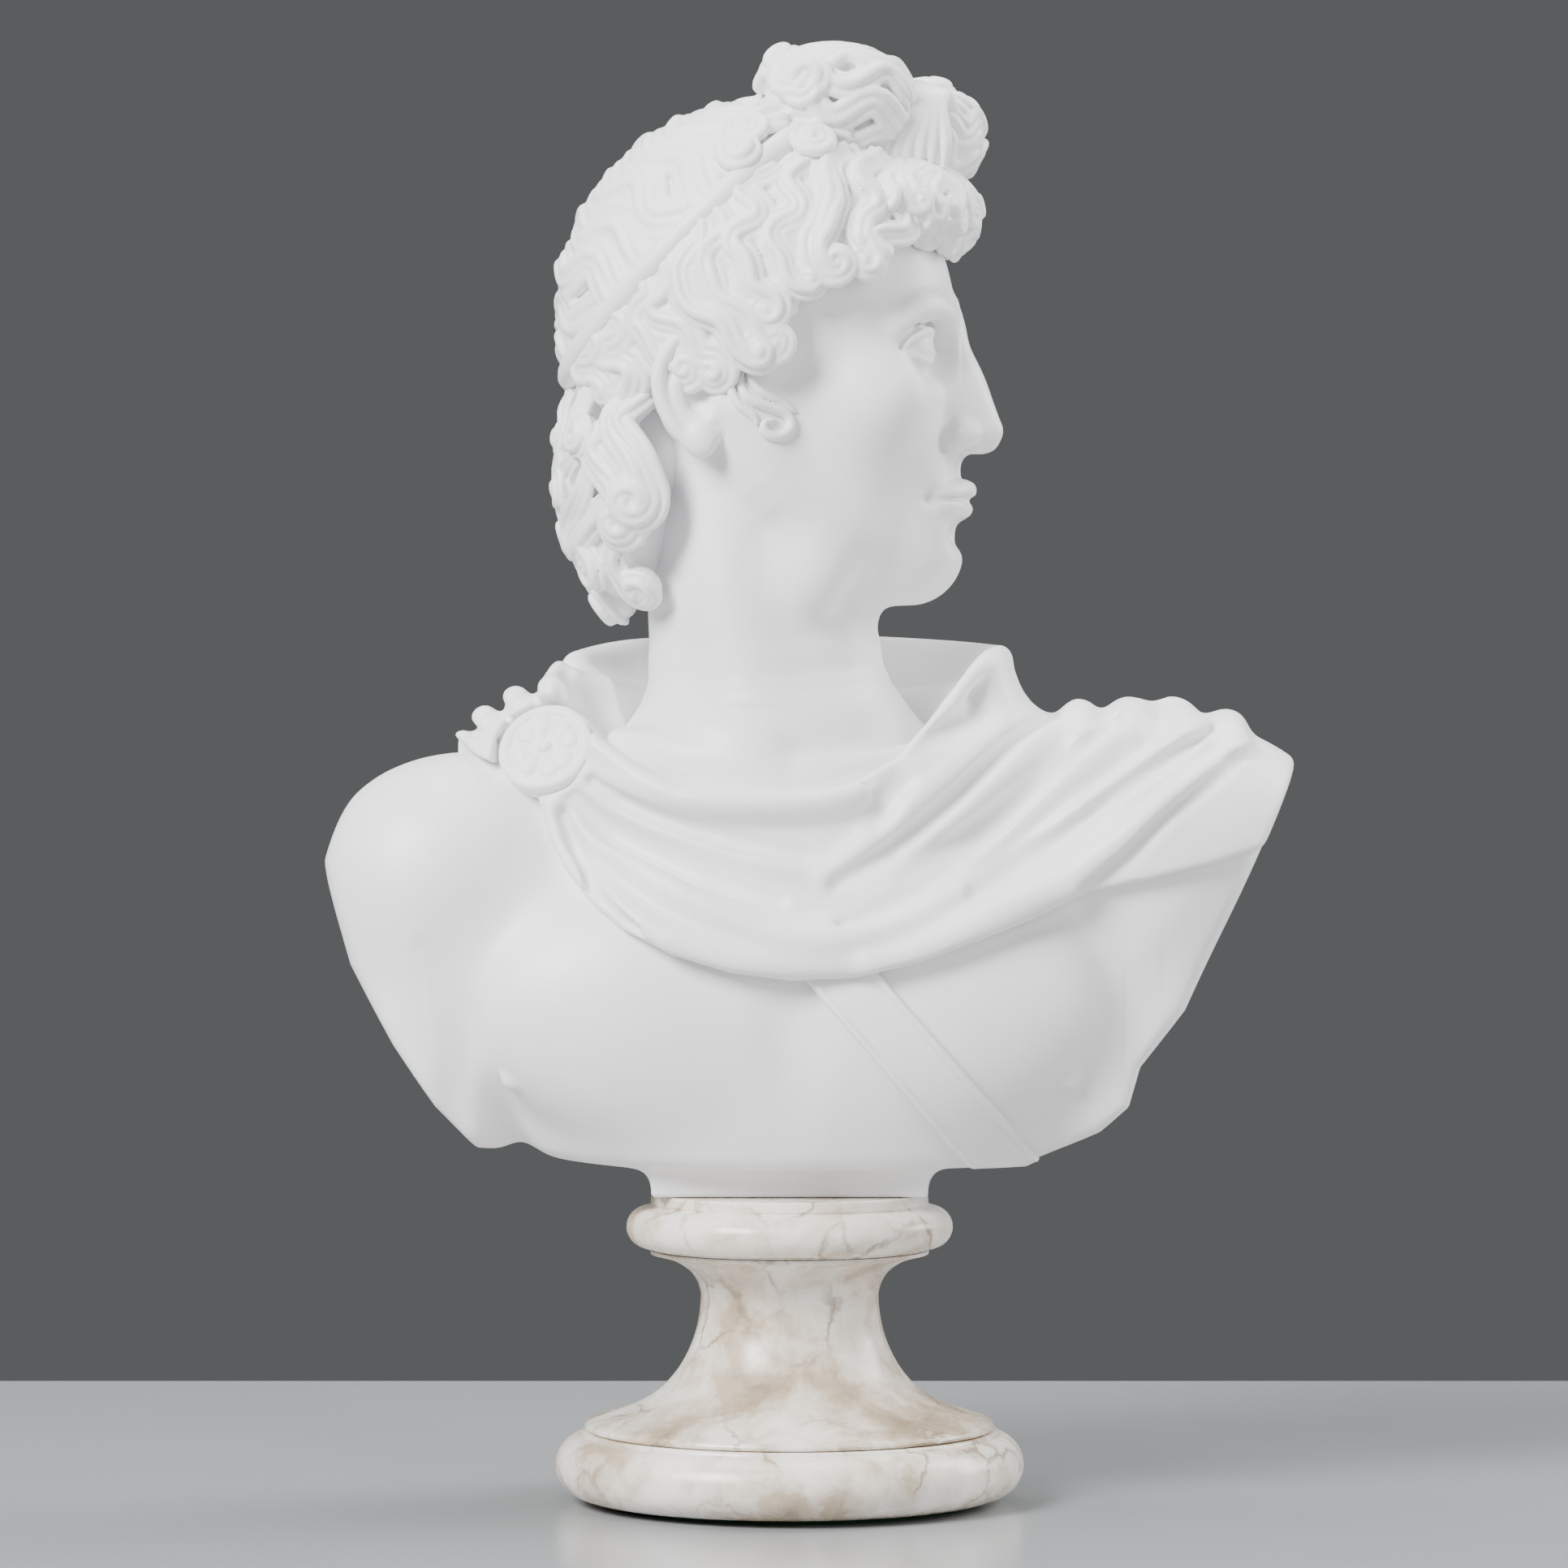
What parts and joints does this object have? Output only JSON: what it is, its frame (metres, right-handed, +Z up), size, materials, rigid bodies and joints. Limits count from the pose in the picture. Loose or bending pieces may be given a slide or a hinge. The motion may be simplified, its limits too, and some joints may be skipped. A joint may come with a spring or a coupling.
{
  "type": "portrait bust on socle",
  "caption": "Draped youth bust in cast marble, head turned, hair in a bow above a fillet, clamped on a turned alabaster socle",
  "frame": {"origin": "centre of the underside of the felt disc, on the axis of the socle and tie rod", "axes": "+Z up from the table, -Y out of the chest, +X the way the head looks, towards the sitter's left"},
  "size_m": [0.3493, 0.1678, 0.5189],
  "materials": {
    "cast_marble": "satin",
    "alabaster": "polished",
    "felt": "matte",
    "steel": "zinc plated",
    "brass": "machined"
  },
  "bodies": {
    "root": {"torso": "cast_marble", "mantle": "cast_marble", "sword_strap": "cast_marble", "brooch": "cast_marble", "head": "cast_marble", "crown_hair": "cast_marble", "hair_band": "cast_marble", "side_hair_right": "cast_marble", "side_hair_left": "cast_marble", "fringe": "cast_marble", "topknot_right": "cast_marble", "topknot_left": "cast_marble", "topknot_tie": "cast_marble", "nape_curls": "cast_marble", "temple_curl_right": "cast_marble", "temple_curl_left": "cast_marble", "socle_base": "alabaster", "socle_shaft": "alabaster", "socle_cap": "alabaster", "felt_disc": "felt", "tie_rod": "steel", "base_nut": "steel", "base_washer": "steel", "threaded_insert": "brass", "locating_dowel_right": "steel", "locating_dowel_left": "steel"}
  },
  "joints": []
}
